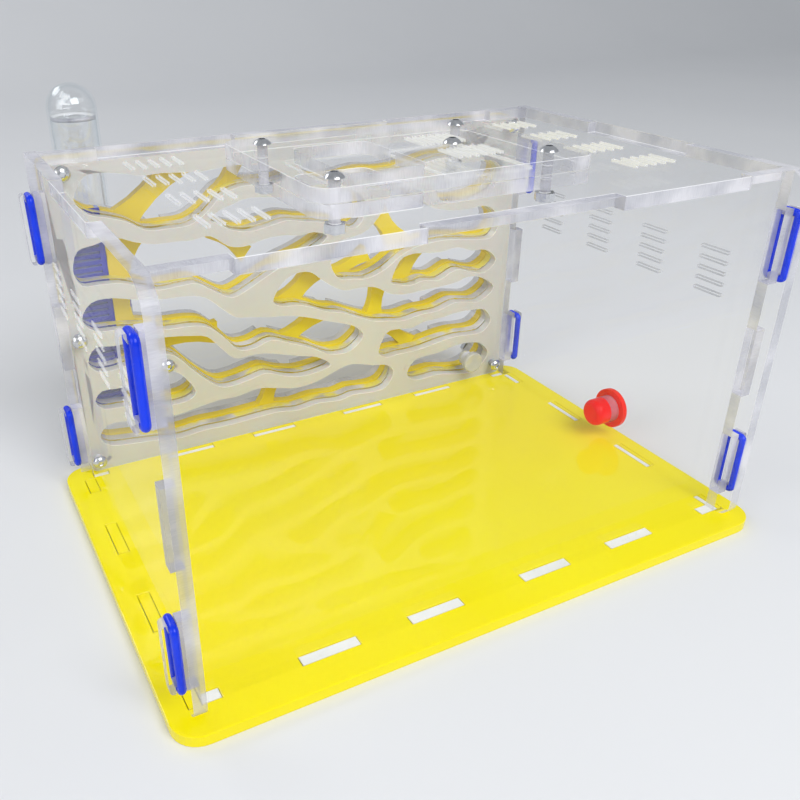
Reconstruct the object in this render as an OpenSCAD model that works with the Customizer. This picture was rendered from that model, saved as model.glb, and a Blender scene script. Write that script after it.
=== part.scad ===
// Ant habitat: a finger-jointed clear box on a base plate, with a nest of cut plates
// bolted behind its back panel, a water tube, a feeding hatch and two stoppers.
// Sizes in millimetres. The origin is the middle of the base plate's underside,
// +X to the right, +Y to the back, +Z up.

/* [Arena] */
// Outside width over the two side panels
arena_w = 210; // [190:1:260]
// Depth from the front panel's face to the back panel's rear face
arena_d = 137; // [128:1:180]
// Height from the base plate's top to the lid's top
arena_h = 127; // [118:1:170]
// Thickness of the clear sheet
sheet = 4; // [3:0.5:5]
// How far the side panels run past the front panel
side_front = 6; // [3:0.5:9]
// How far the side panels run past the back panel
side_back = 2; // [1:0.5:4]
// Radius of the side panels' upper front corners
side_top_r = 9; // [2:0.5:14]
// Radius of the side panels' lower front corners
side_foot_r = 5; // [2:0.5:6]

/* [Base plate] */
// Thickness of the base plate
base_t = 4; // [3:0.5:8]
// Base plate beyond the side panels
base_side = 6.5; // [5:0.5:20]
// Base plate in front of the front panel
base_front = 11; // [10:0.5:30]
// Base plate behind the back panel's rear face
base_back = 6; // [5:0.5:30]
// Radius of the base plate's corners
base_r = 9; // [2:0.5:14]

/* [Finger joints] */
// Width of each of the lid's tabs on its front and back edges
lid_tab_w = 50; // [30:1:56]
// Lid tab's centre from the middle of the lid
lid_tab_off = 57; // [52:1:60]
// Width of the lid's tab on each side edge
lid_side_tab_w = 50; // [30:1:70]
// Width of the wall tabs that stand in the base plate
floor_tab_w = 19.5; // [12:0.5:24]
// Floor tabs' centres from the middle of each panel: the inner pair
floor_tab_in = 22; // [16:1:26]
// Floor tabs' centres from the middle of the front and back panels: the outer pair
floor_tab_out = 60; // [54:1:70]
// Width of the small tabs under the ends of the front and back panels
corner_tab_w = 6; // [4:0.5:9]
// Width of the tabs under the ends of the side panels
end_tab_w = 10; // [6:0.5:10]
// Height of the ears that stand out of the side panels
ear_h = 24.5; // [18:0.5:28]
// Centre height of the lower ears
ear_low_z = 19.5; // [17:0.5:24]
// Centre of the upper ears below the lid's top
ear_high_drop = 25; // [20:0.5:30]
// Height of the flush finger between the ears
finger_h = 25; // [15:0.5:34]
// Ear beyond the ring
ear_lip = 1.7; // [1:0.1:4]
// Radius of the ears' outer corners
ear_r = 1.2; // [0.4:0.1:1.6]
// Gap round each tab in its slot
slot_gap = 0.1; // [0.05:0.05:0.3]

/* [Rings] */
// Thickness of the silicone rings
ring_d = 2.5; // [1.5:0.1:3]
// Gap between a ring and its ear
ring_gap = 0.05; // [0.02:0.01:0.2]

/* [Vents] */
// Width of a vent slit
slit_w = 1.1; // [0.8:0.1:2]
// Length of a vent slit in a side panel
side_slit_l = 11.5; // [6:0.5:16]
// Distance between the slits of a group in a side panel
side_slit_pitch = 3.8; // [2.5:0.1:5]
// Centre of the side panels' vents below the lid's top
side_vent_drop = 39.5; // [34:0.5:44]
// Distance between the groups in a side panel
side_vent_step = 28.6; // [20:0.2:30]
// Length of a vent slit in the lid
lid_slit_l = 11; // [6:0.5:14]
// Distance between the slits of a group in the lid
lid_slit_pitch = 4; // [2.5:0.1:4.4]
// Distance between the groups in the lid, front to back
lid_vent_step = 23.7; // [18:0.1:27]
// Lid vents' centre from the middle of the lid
lid_vent_off = 70.5; // [66:0.5:74]
// Slits in each vent group
slits = 5; // [3:1:6]

/* [Feeding hatch] */
// Width of the hatch frame and cover
hatch_w = 90; // [86:1:98]
// Depth of the hatch frame and cover
hatch_d = 70; // [64:1:80]
// Radius of the hatch's corners
hatch_r = 6; // [1:0.5:8]
// Hatch's middle from the middle of the lid, to the right
hatch_x = -9; // [-12:0.5:-7]
// Hatch's middle from the front panel's face
hatch_y = 51.5; // [44:0.5:70]
// Distance between the hatch screws, left to right
hatch_screw_x = 70; // [68:0.5:74]
// Distance between the hatch screws, front to back
hatch_screw_y = 49; // [48:0.5:54]
// Width of the feed opening
feed_w = 25; // [16:0.5:26]
// Depth of the feed opening
feed_d = 37; // [24:0.5:38]
// Feed opening's middle left of the hatch's middle
feed_left = 17.5; // [16:0.5:18]
// Feed opening's middle in front of the hatch's middle
feed_fore = 4; // [2:0.5:6]
// Radius of the feed opening's corners
feed_r = 3; // [1:0.5:6]
// Shutter's overlap past the feed opening on each side
shutter_lap = 1.3; // [0.5:0.1:1.5]
// Gap between the shutter and its channel
shutter_gap = 0.2; // [0.1:0.05:0.4]
// Travel of the shutter
shutter_travel = 33.5; // [28:0.5:34]
// Distance between the grille's slits
grille_pitch = 2.85; // [2.2:0.05:3.2]
// Slits in the grille
grille_n = 6; // [4:2:6]
// Length of the grille's slits
grille_l = 31.5; // [20:0.5:34]
// Grille's and knob's middle behind the feed opening's middle
knob_back = 1.75; // [0:0.25:3]
// Bar on each side of the knob's slot
knob_bar = 2; // [1.5:0.1:4]

/* [Nest] */
// Thickness of each nest layer
layer_t = 4; // [3:0.5:5]
// Gap between the nest layers and the side panels
nest_side_gap = 0.3; // [0.1:0.1:1]
// Nest layers' tops below the lid's underside
nest_top_drop = 0; // [0:0.5:1]
// Radius of the nest layers' corners
nest_r = 2; // [0.5:0.5:5]
// Galleries' lower edges in the milky front layer below those in the yellow layer
front_drop = 1.5; // [0:0.25:1.5]
// Galleries' lower edges in the clear layer below those in the yellow layer
clear_drop = 0.75; // [0:0.25:1.5]
// Width of the links between galleries in the rear layer
link_w = 6; // [4:0.5:6]
// Solid strip left of the galleries in the rear layer
rear_strip = 22.5; // [20:0.5:30]
// Humidity plate's left edge from the layer's left edge
humid_in = 5.1; // [5:0.1:7]
// Width of the humidity plate
humid_w = 14; // [11:0.5:15]
// Height of the humidity plate
humid_h = 79; // [60:1:82]
// Humidity plate's lower edge above the base plate
humid_z = 25; // [20:1:28]
// Gap round the humidity plate
humid_gap = 0.15; // [0.05:0.05:0.3]
// Distance between the humidity plate's slits
humid_pitch = 2.5; // [2:0.1:4]
// Width of the humidity plate's slits
humid_slit = 0.9; // [0.5:0.1:1.2]
// Humidity plate's rim that seals against the rear layer
humid_rim = 2; // [1.5:0.5:3]

/* [Water supply] */
// Outside diameter of the test tube
tube_d = 18; // [14:0.5:19]
// Length of the test tube
tube_l = 100; // [80:1:120]
// Wall of the test tube
tube_wall = 0.8; // [0.8:0.1:1.8]
// Top of the tube above the lid's top
tube_rise = 17.5; // [10:1:30]
// Water level below the tube's top
tube_air = 12.5; // [10:0.5:30]
// Tube's axis from the left side panel's outer face
tube_x = 23; // [19:0.5:24]
// Tube from the nest's back sheet
tube_off = 1.2; // [0.6:0.1:4]
// Running gap round the tube
tube_gap = 0.1; // [0.05:0.05:0.3]
// Wall round the tube in its socket and guide
socket_wall = 3; // [2:0.5:5]
// How deep the tube stands in its socket
socket_grip = 13; // [8:0.5:20]
// Height of the well below the tube's mouth
well_h = 12; // [8:0.5:16]
// Height of the tube guide's underside below the lid's top
guide_drop = 37; // [18:1:42]
// Diameter of the water hole into the reservoir
water_hole_d = 4; // [3:0.5:5]
// Thickness of the seal ring on the socket
seal_t = 2.5; // [1.5:0.5:4]

/* [Stoppers] */
// Diameter of the port in the right panel
port_d = 11.6; // [9:0.1:12]
// Port's centre from the front panel's face
port_y = 63.7; // [50:0.1:90]
// Port's centre above the base plate
port_z = 12.5; // [10:0.5:20]
// Diameter of the stopper's flange
port_flange_d = 17; // [14:0.5:19]
// How far the stopper reaches into the arena
port_inside = 6.5; // [4:0.5:10]
// Radius of the stopper's nose
port_nose = 2.5; // [0.5:0.1:4]
// Diameter of the nest entry
entry_d = 7.1; // [6:0.1:8]
// Diameter of the entry stopper's flange
entry_flange_d = 10; // [9.5:0.1:12]
// How far the entry stopper reaches past the back panel
entry_inside = 2; // [1.5:0.1:4]
// Radius of the entry stopper's nose
entry_nose = 1; // [0.5:0.1:2]
// Thickness of the stoppers' flanges
flange_t = 2.5; // [1.8:0.1:4]
// Gap round a stopper in its hole
stopper_gap = 0.05; // [0.02:0.01:0.1]

/* [Screws] */
// Shank diameter of the M3 screws
screw_d = 3; // [2.5:0.5:3]
// Head diameter of the dome screws
head_d = 5.7; // [5:0.1:6]
// Head height of the dome screws
head_t = 1.65; // [1.5:0.05:2.4]
// Hex socket in the heads, across its flats
hex_af = 2; // [1.5:0.1:2.5]
// Clearance of a screw in its hole, on the diameter
screw_gap = 0.2; // [0.1:0.1:0.4]
// Nut across its flats
nut_af = 5.5; // [5:0.1:6]
// Nut height
nut_t = 2.4; // [1.8:0.1:3]

/* [Hidden] */
$fn = 48;

// Colours
clear_c = [0.86, 0.90, 0.92, 0.35];
milky_c = [0.86, 0.84, 0.79];
yellow_c = [0.96, 0.90, 0.02];
blue_c = [0.05, 0.22, 0.95];
humid_c = [0.15, 0.19, 0.56];
steel_c = [0.80, 0.81, 0.83];
red_c = [0.95, 0.12, 0.05];
water_c = [0.70, 0.85, 0.95, 0.5];

join = 1;          // how far one outline runs into the next where they merge
through = 1;       // how far a cutter runs past what it cuts
corner_n = 8;      // steps in a quarter round of a plate's outline
curve_n = 3;       // steps between two points of a gallery's outline
tube_fn = 96;      // facets that stand for a circle of the tube
small_r = 0.5;     // radius of the plates' nearly square corners
thread_gap = 0.05; // between a screw's shank and its nut, on the radius
head_gap = 0.3;    // under the knob's head, and between the top screws and the lid
screw_end = 0.6;   // screw beyond its nut
hex_depth = 0.9;   // depth of the hex sockets

base_w = arena_w + 2 * base_side;
base_d = arena_d + base_front + base_back;
back_y = arena_d - sheet;
lid_z = arena_h - sheet;
mid_x = arena_w / 2;
mid_y = arena_d / 2;
ear_high_z = arena_h - ear_high_drop;
ear_z = [ear_low_z, ear_high_z];
finger_z = (ear_low_z + ear_high_z) / 2;
notch_w = ring_d + 2 * ring_gap; // width of the notch that holds a ring
ear_neck_h = ear_h - 2 * ring_d;
hole_d = screw_d + screw_gap;

// Floor tabs: middles along the front and back panels; middle and width along the sides
side_mid = (arena_d + side_back - side_front) / 2;
floor_tabs_x = [for (s = [-1, 1], off = [floor_tab_in, floor_tab_out]) mid_x + s * off];
side_tabs = [
    [end_tab_w / 2, end_tab_w],
    [side_mid - floor_tab_in, floor_tab_w],
    [side_mid + floor_tab_in, floor_tab_w],
    [back_y - join - end_tab_w / 2, end_tab_w]
];

// Nest layers, and the drawing of their galleries: its left edge, width and height, from
// which its places are fitted to the layers
nest_w = arena_w - 2 * (sheet + nest_side_gap);
nest_x = sheet + nest_side_gap;
nest_h = lid_z - nest_top_drop;
drawing = [4.3, 201.4, 127];
function nx(x) = nest_x + (x - drawing[0]) * nest_w / drawing[1];
function nz(z) = z * arena_h / drawing[2];
layer_y = [for (i = [0:4]) arena_d + i * layer_t];
stack_end = arena_d + 5 * layer_t;

// Hatch: places over the lid, from the left side panel's face and the front panel's face
hatch_cx = mid_x + hatch_x;
hatch_top = arena_h + 2 * sheet;
feed_cx = hatch_cx - feed_left;
feed_cy = hatch_y - feed_fore;
shutter_w = feed_w + 2 * shutter_lap;
shutter_d = feed_d + 2 * shutter_lap;
shutter_cx = feed_cx + shutter_travel;
knob_y = feed_cy + knob_back;
knob_slot_w = screw_d + 2 * shutter_gap;
grille_w = (grille_n - 1) * grille_pitch;

// Water supply
tube_top = arena_h + tube_rise;
tube_mouth = tube_top - tube_l;
tube_y = stack_end + tube_d / 2 + tube_off;
socket_z = tube_mouth - well_h;
socket_r = tube_d / 2 + tube_gap + socket_wall;
well_floor = 3;
guide_z = arena_h - guide_drop;
window_x = nest_x + humid_in + humid_rim;
window_w = humid_w - 2 * humid_rim;
window_z = humid_z + humid_rim;
window_h = humid_h - 2 * humid_rim;
water_hole_z = socket_z + well_floor + water_hole_d / 2 + join;
water_hole_x = window_x + window_w - water_hole_d / 2 - join;

// Nest entry on the drawing, behind which the bottom right gallery lies
entry_x = nx(186);
entry_z = nz(11.5);

// Nest screws: the upper ones stand just under the lid and the left ones just clear of
// the side panel, and their other places are on the drawing, between the galleries
top_screw_z = lid_z - head_d / 2 - head_gap;
left_screw_x = sheet + head_d / 2 + head_gap;
nest_screw_at = [[nx(10.5), top_screw_z], [left_screw_x, nz(58.5)], [left_screw_x, nz(6)],
    [nx(39), nz(41.5)], [nx(201), nz(6)], [nx(200), top_screw_z]];

// Galleries on the drawing. Each row is [x, lower edge, upper edge]; the first and last
// are the two tips.
galleries = [
    // upper left
    [[13.5, 110.5, 110.5], [18, 105.5, 117], [24, 103.6, 118], [31, 101.2, 117], [38, 97, 115.5],
        [46, 96.6, 115.6], [54, 96.8, 115], [61, 100.5, 114.6], [68, 106.5, 115.3],
        [76, 109, 115.5], [84, 108.7, 114.5], [90, 108.5, 112.3], [95, 109.5, 109.5]],
    // under the hatch, at the top right
    [[101, 112, 112], [108, 107.5, 116.5], [118, 106.5, 117.5], [130, 108, 117],
        [142, 107, 117.5], [154, 108.5, 117], [164, 110.5, 117.2], [172, 111, 117],
        [182, 114.5, 114.5]],
    // second row, middle
    [[62.5, 97, 97], [66, 95.5, 99.2], [71, 92.6, 100.8], [78, 91, 102.6], [86, 92, 102],
        [94, 93.3, 101], [102, 91.8, 100.1], [110, 90.5, 100.3], [118, 88.6, 101],
        [124, 86, 100.3], [128, 88.5, 98], [130, 94, 94]],
    // second row, right end
    [[163.3, 98.5, 98.5], [167, 92.3, 104.3], [173, 91, 106.3], [181, 90.7, 105.7],
        [189, 92, 105.9], [195, 95, 104.5], [198.7, 100.5, 100.5]],
    // third row, left
    [[9.5, 85, 85], [12, 79.8, 91.3], [18, 79.3, 92.8], [26, 78.5, 94.4], [33, 76, 91.8],
        [40, 73.5, 90], [48, 73.7, 89.8], [55, 73.5, 89.4], [62, 69, 90], [69, 65.2, 85],
        [76, 67.5, 83.9], [84, 71.5, 85.6], [92, 75, 86], [100, 77.5, 84.9], [106, 80, 85.4],
        [112, 83.5, 83.5]],
    // third row, right
    [[113.2, 72, 72], [117, 65.2, 79.4], [124, 63.8, 80.9], [131, 63, 83], [138, 65, 90],
        [143, 67.7, 98], [149, 71.4, 98.5], [156, 73.6, 93], [163, 74.3, 88.3],
        [172, 74.3, 86], [181, 73, 85.3], [190, 71.9, 85.8], [196, 72.4, 83], [199.2, 78, 78]],
    // fourth row, left
    [[9.8, 66, 66], [14, 61.4, 71.3], [22, 60.5, 71.8], [32, 59, 69.3], [42, 56.8, 68],
        [51, 56.3, 67.5], [58, 54.5, 65.5], [64, 49, 60], [70, 42, 55], [77, 41.2, 53.7],
        [85, 43.3, 52.3], [94, 39.8, 51], [103, 36, 48.5], [112, 31, 45], [120, 30, 42.3],
        [125, 32, 40], [129, 36, 36]],
    // fourth row, middle
    [[86.5, 59.7, 59.7], [91, 57.3, 66], [97, 56.8, 69.1], [104, 54.6, 68.6],
        [111, 51.3, 62.8], [119, 49.2, 58], [127, 45.5, 57.8], [135, 42.2, 56.7],
        [142, 41, 52.6], [150, 39.7, 50.8], [159, 40.9, 51.1], [168, 41, 51.2],
        [177, 43.4, 51.8], [184, 42.5, 53.4], [192, 41.6, 51.6], [199.2, 46.5, 46.5]],
    // fourth row, right
    [[142.8, 58.7, 58.7], [147, 57.3, 66.8], [153, 56, 69], [160, 57.2, 68.4],
        [168, 56, 67.7], [177, 59.5, 68.5], [185, 57.3, 65.8], [193, 55.6, 65],
        [199.2, 60, 60]],
    // fifth row, left
    [[9.5, 48.5, 48.5], [13, 44.7, 53.3], [20, 44.4, 52.6], [28, 46, 53], [35, 47.2, 52.7],
        [43, 45, 51.9], [50, 37, 50.8], [57, 29.8, 49], [62, 26.5, 43.5], [68, 26.2, 37],
        [75, 27.4, 36.8], [82, 28.5, 36.3], [90, 25.3, 34], [98, 23.3, 31.6],
        [106, 23.7, 29.3], [112.5, 25, 25]],
    // fifth row, right
    [[136.8, 26, 26], [141, 23.2, 33.8], [147, 23.4, 34.5], [154, 23.3, 33.6],
        [161, 23.7, 35.5], [170, 25, 35.7], [180, 25.8, 36.7], [189, 25, 36.2],
        [195, 25.6, 35], [198.9, 30, 30]],
    // sixth row, left
    [[9.8, 31.5, 31.5], [13, 28.4, 34.8], [21, 27.6, 34.5], [30, 25.8, 36.3], [38, 23.8, 38.5],
        [44, 23.6, 35.5], [48, 24.5, 30.5], [50.2, 26.5, 26.5]],
    // bottom row, left
    [[9.4, 15.5, 15.5], [13, 11.7, 19.5], [22, 10.2, 19.4], [32, 9, 17.8], [42, 7.5, 17],
        [52, 8.3, 18.5], [60, 8, 19.4], [68, 8, 19.2], [78, 8.4, 20.6], [87, 8.4, 18.6],
        [96, 7, 16.7], [106, 8, 17.6], [117, 6.8, 21.2], [124, 8, 22], [134, 7, 19.2],
        [141, 8, 17.8], [145, 14, 14]],
    // bottom row, right, behind the nest entry
    [[152.3, 11.5, 11.5], [156, 8.2, 16.5], [162, 7.6, 17.7], [170, 7.9, 18],
        [180, 5.8, 19.8], [188, 4.8, 19.4], [194, 6.8, 17.6], [198.7, 12.5, 12.5]]
];

// Bridges that the yellow layer keeps across its galleries: [x1, z1, x2, z2, width]
bridges = [
    [29, 96, 56, 118.5, 8], [71.5, 104, 79.5, 119, 5.5], [24, 72, 36, 96, 8], [65, 90, 79, 78, 5],
    [138, 90, 151, 72, 8], [94, 52, 112, 68, 8], [138, 38, 142, 58, 7], [91, 35, 113, 47, 6],
    [37, 48.5, 64, 46.5, 6.5], [83, 5, 89, 22, 6], [151, 54, 162, 71, 7], [144, 35, 158, 22, 6],
    [117, 62, 135, 70, 5], [26.5, 73, 27, 97, 7], [27, 55, 26.5, 74, 7.5]
];

// Links between galleries, cut in the rear layer only: [x, lower end, upper end]
links = [
    [34, 15, 28], [96, 14, 26], [86, 33, 46], [37, 65, 77], [44, 87, 99], [80, 82, 94],
    [115, 41, 53], [165, 33, 43], [170, 15, 28], [180, 49, 62], [160, 65, 77], [178, 83, 93],
    [112, 97, 110]
];

// Plain outlines -----------------------------------------------------------------------

// Points of a quarter round, from angle a0
function quarter(cx, cy, r, a0) =
    [for (k = [0:corner_n]) [cx + r * cos(a0 + 90 * k / corner_n),
                             cy + r * sin(a0 + 90 * k / corner_n)]];

// A rectangle from (x0, y0) to (x1, y1) with its own radius at each corner
module round_rect(x0, y0, x1, y1, r) {
    r_ll = is_list(r) ? r[0] : r;
    r_lr = is_list(r) ? r[1] : r;
    r_ur = is_list(r) ? r[2] : r;
    r_ul = is_list(r) ? r[3] : r;
    polygon(concat(
        quarter(x0 + r_ll, y0 + r_ll, r_ll, 180),
        quarter(x1 - r_lr, y0 + r_lr, r_lr, 270),
        quarter(x1 - r_ur, y1 - r_ur, r_ur, 0),
        quarter(x0 + r_ul, y1 - r_ul, r_ul, 90)));
}

// A rectangle by its middle and size
module middle_rect(cx, cy, w, h) {
    translate([cx - w / 2, cy - h / 2]) square([w, h]);
}

// Smooth closed curve through the points
function blend4(a, b, c, d, t) =
    0.5 * (2 * b + (c - a) * t + (2 * a - 5 * b + 4 * c - d) * t * t
        + (3 * b - a - 3 * c + d) * t * t * t);
function smooth_loop(p) = let (n = len(p))
    [for (i = [0:n - 1], k = [0:curve_n - 1])
        blend4(p[(i + n - 1) % n], p[i], p[(i + 1) % n], p[(i + 2) % n], k / curve_n)];
// Points round a gallery whose lower edge stands lower by the drop
function gallery_points(g, drop) = let (n = len(g)) concat(
    [[nx(g[0][0]), nz(g[0][1]) - drop / 2]],
    [for (i = [1:n - 2]) [nx(g[i][0]), nz(g[i][1]) - drop]],
    [[nx(g[n - 1][0]), nz(g[n - 1][1]) - drop / 2]],
    [for (i = [n - 2:-1:1]) [nx(g[i][0]), nz(g[i][2])]]);

// Where the pieces stand --------------------------------------------------------------

// Puts what is drawn from the left panel's face, the front panel's face and the base
// plate's top into the part's own frame
module in_arena() {
    translate([-mid_x, base_front - base_d / 2, base_t]) children();
}

// A plate parallel to the front: an outline in (x, z), t thick, its front face at y
module upright(y, t) {
    translate([0, y + t, 0]) rotate([90, 0, 0]) linear_extrude(t) children();
}

// A plate parallel to the sides: an outline in (y, z), its left face at x
module sideways(x, t) {
    translate([x, 0, 0]) rotate([90, 0, 90]) linear_extrude(t) children();
}

// A level plate with its underside at z
module level(z, t) {
    translate([0, 0, z]) linear_extrude(t) children();
}

// Base plate ---------------------------------------------------------------------------

module base_plate() {
    color(yellow_c) in_arena() level(-base_t, base_t) difference() {
        round_rect(-base_side, -base_front, arena_w + base_side, arena_d + base_back, base_r);
        for (y = [sheet / 2, back_y + sheet / 2]) {
            for (x = floor_tabs_x)
                middle_rect(x, y, floor_tab_w + 2 * slot_gap, sheet + 2 * slot_gap);
            for (s = [-1, 1])
                middle_rect(mid_x + s * (mid_x - sheet - corner_tab_w / 2), y,
                    corner_tab_w + 2 * slot_gap, sheet + 2 * slot_gap);
        }
        for (tab = side_tabs, x = [sheet / 2, arena_w - sheet / 2])
            middle_rect(x, tab[0], sheet + 2 * slot_gap, tab[1] + 2 * slot_gap);
    }
}

// Front and back panels ----------------------------------------------------------------

// An ear through the left side panel (x from 0 to the left), notched for its ring
module ear_outline(z) {
    middle_rect((sheet + join) / 2, z, sheet + join, ear_h);
    middle_rect(-notch_w / 2, z, notch_w + 2 * join, ear_neck_h);
    round_rect(-notch_w - ear_lip, z - ear_h / 2, -notch_w, z + ear_h / 2,
        [ear_r, small_r / 2, small_r / 2, ear_r]);
}

module end_outline() {
    difference() {
        union() {
            translate([sheet, 0]) square([arena_w - 2 * sheet, arena_h]);
            for (x = floor_tabs_x)
                translate([x - floor_tab_w / 2, -base_t]) square([floor_tab_w, base_t + join]);
            for (side = [0, 1]) translate([side * arena_w, 0]) mirror([side, 0]) {
                translate([sheet, -base_t]) square([corner_tab_w, base_t + join]);
                middle_rect(sheet / 2 + join / 2, finger_z, sheet + join, finger_h);
            }
            for (side = [0, 1], z = ear_z)
                translate([side * arena_w, 0]) mirror([side, 0]) ear_outline(z);
        }
        for (s = [-1, 1])
            translate([mid_x + s * lid_tab_off - lid_tab_w / 2 - slot_gap, lid_z])
                square([lid_tab_w + 2 * slot_gap, sheet + through]);
    }
}

module front_panel() {
    color(clear_c) in_arena() upright(0, sheet) end_outline();
}

module back_panel() {
    color(clear_c) in_arena() difference() {
        upright(back_y, sheet) end_outline();
        nest_screw_holes(back_y, sheet);
        translate([entry_x, back_y + sheet / 2, entry_z]) rotate([90, 0, 0])
            cylinder(d = entry_d, h = sheet + 2 * through, center = true);
    }
}

// Side panels --------------------------------------------------------------------------

module slit_group(cx, cy, along, pitch, upright_slits) {
    for (k = [0:slits - 1]) {
        off = (k - (slits - 1) / 2) * pitch;
        if (upright_slits) middle_rect(cx + off, cy, slit_w, along);
        else middle_rect(cx, cy + off, along, slit_w);
    }
}

module side_outline() {
    difference() {
        union() {
            round_rect(-side_front, 0, arena_d + side_back, arena_h,
                [side_foot_r, small_r, small_r, side_top_r]);
            for (tab = side_tabs)
                translate([tab[0] - tab[1] / 2, -base_t]) square([tab[1], base_t + join]);
        }
        for (y = [sheet / 2, back_y + sheet / 2]) {
            for (z = ear_z) middle_rect(y, z, sheet + 2 * slot_gap, ear_h + 2 * slot_gap);
            middle_rect(y, finger_z, sheet + 2 * slot_gap, finger_h + 2 * slot_gap);
        }
        translate([mid_y - lid_side_tab_w / 2 - slot_gap, lid_z])
            square([lid_side_tab_w + 2 * slot_gap, sheet + through]);
        for (k = [0:3])
            slit_group(side_mid + (k - 1.5) * side_vent_step, arena_h - side_vent_drop,
                side_slit_l, side_slit_pitch, false);
    }
}

module left_panel() {
    color(clear_c) in_arena() sideways(0, sheet) side_outline();
}

module right_panel() {
    color(clear_c) in_arena() difference() {
        sideways(arena_w - sheet, sheet) side_outline();
        translate([arena_w - sheet / 2, port_y, port_z]) rotate([0, 90, 0])
            cylinder(d = port_d, h = sheet + 2 * through, center = true);
    }
}

// Rings --------------------------------------------------------------------------------

// One ring round an ear: side is 0 left or 1 right, end is 0 front or 1 back
module ring(side, end, z) {
    r = ring_d / 2;
    bend = r + 2 * ring_gap; // so that the ring's corners clear the ear's
    half_y = sheet / 2 + ring_gap + r;
    half_z = ear_neck_h / 2 + ring_gap + r;
    ring_x = side == 0 ? -notch_w / 2 : arena_w + notch_w / 2;
    color(blue_c) in_arena() translate([ring_x, end * back_y + sheet / 2, z]) {
        for (s = [-1, 1]) {
            translate([0, s * half_y, bend - half_z]) cylinder(r = r, h = 2 * (half_z - bend));
            translate([0, half_y - bend, s * half_z]) rotate([90, 0, 0])
                cylinder(r = r, h = 2 * (half_y - bend));
        }
        for (q = [0:3])
            translate([0, (q % 3 == 0 ? 1 : -1) * (half_y - bend),
                       (q < 2 ? 1 : -1) * (half_z - bend)])
                rotate([90 * q, 0, 0]) rotate([90, 0, 90])
                    rotate_extrude(angle = 90) translate([bend, 0]) circle(r = r);
    }
}

module ring_front_left_lower() { ring(0, 0, ear_low_z); }
module ring_front_left_upper() { ring(0, 0, ear_high_z); }
module ring_front_right_lower() { ring(1, 0, ear_low_z); }
module ring_front_right_upper() { ring(1, 0, ear_high_z); }
module ring_back_left_lower() { ring(0, 1, ear_low_z); }
module ring_back_left_upper() { ring(0, 1, ear_high_z); }
module ring_back_right_lower() { ring(1, 1, ear_low_z); }
module ring_back_right_upper() { ring(1, 1, ear_high_z); }

// Lid and feeding hatch ----------------------------------------------------------------

module feed_opening() {
    round_rect(feed_cx - feed_w / 2, feed_cy - feed_d / 2,
        feed_cx + feed_w / 2, feed_cy + feed_d / 2, feed_r);
}

// The grille's slits, from y0 to y1
module grille(y0, y1) {
    for (k = [0:grille_n - 1])
        translate([shutter_cx - grille_w / 2 + k * grille_pitch - slit_w / 2, y0])
            square([slit_w, y1 - y0]);
}

module hatch_screw_holes() {
    for (sx = [-1, 1], sy = [-1, 1])
        translate([hatch_cx + sx * hatch_screw_x / 2, hatch_y + sy * hatch_screw_y / 2])
            circle(d = hole_d);
}

module top_panel() {
    gap = slot_gap;
    color(clear_c) in_arena() level(lid_z, sheet) difference() {
        union() {
            translate([sheet + gap, sheet + gap])
                square([arena_w - 2 * (sheet + gap), back_y - sheet - 2 * gap]);
            for (s = [-1, 1])
                translate([mid_x + s * lid_tab_off - lid_tab_w / 2, gap])
                    square([lid_tab_w, arena_d - 2 * gap]);
            translate([gap, mid_y - lid_side_tab_w / 2])
                square([arena_w - 2 * gap, lid_side_tab_w]);
        }
        for (s = [-1, 1], k = [0:3])
            slit_group(mid_x + s * lid_vent_off, mid_y + (k - 1.5) * lid_vent_step,
                lid_slit_l, lid_slit_pitch, true);
        feed_opening();
        grille(knob_y - grille_l / 2, knob_y + grille_l / 2);
        hatch_screw_holes();
    }
}

module hatch_outline() {
    round_rect(hatch_cx - hatch_w / 2, hatch_y - hatch_d / 2,
        hatch_cx + hatch_w / 2, hatch_y + hatch_d / 2, hatch_r);
}

module hatch_frame() {
    color(clear_c) in_arena() level(arena_h, sheet) difference() {
        hatch_outline();
        translate([feed_cx - shutter_w / 2 - shutter_gap, feed_cy - shutter_d / 2 - shutter_gap])
            square([shutter_travel + shutter_w + 2 * shutter_gap, shutter_d + 2 * shutter_gap]);
        hatch_screw_holes();
    }
}

module hatch_cover() {
    bar_off = knob_slot_w / 2 + knob_bar;
    color(clear_c) in_arena() level(arena_h + sheet, sheet) difference() {
        hatch_outline();
        feed_opening();
        translate([feed_cx, knob_y - knob_slot_w / 2])
            square([shutter_cx - feed_cx, knob_slot_w]);
        translate([shutter_cx, knob_y]) circle(d = knob_slot_w);
        grille(knob_y - grille_l / 2, knob_y - bar_off);
        grille(knob_y + bar_off, knob_y + grille_l / 2);
        hatch_screw_holes();
    }
}

module feed_shutter() {
    color(clear_c) in_arena() translate([0, 0, arena_h]) difference() {
        translate([shutter_cx - shutter_w / 2, feed_cy - shutter_d / 2, 0])
            cube([shutter_w, shutter_d, sheet - shutter_gap]);
        translate([shutter_cx, knob_y, -through])
            cylinder(d = screw_d + 2 * thread_gap, h = sheet + 2 * through);
    }
}

// Screws and nuts ----------------------------------------------------------------------

// A dome screw along +Z, its head's underside at the origin and its head above
module dome_screw(shank) {
    // The head is a cap of the ball whose chord at mid-height is the head's diameter
    ball_r = (head_d * head_d / 4 + head_t * head_t) / (2 * head_t);
    difference() {
        rotate_extrude() {
            translate([0, -shank]) square([screw_d / 2, shank + head_t / 2]);
            intersection() {
                square([head_d / 2, head_t]);
                translate([0, head_t - ball_r]) circle(r = ball_r, $fn = 2 * $fn);
            }
        }
        translate([0, 0, head_t - hex_depth])
            cylinder(d = hex_af / cos(30), h = hex_depth + through, $fn = 6);
    }
}

module nut() {
    difference() {
        cylinder(d = nut_af / cos(30), h = nut_t, $fn = 6);
        translate([0, 0, -through]) cylinder(d = screw_d + 2 * thread_gap, h = nut_t + 2 * through);
    }
}

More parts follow.
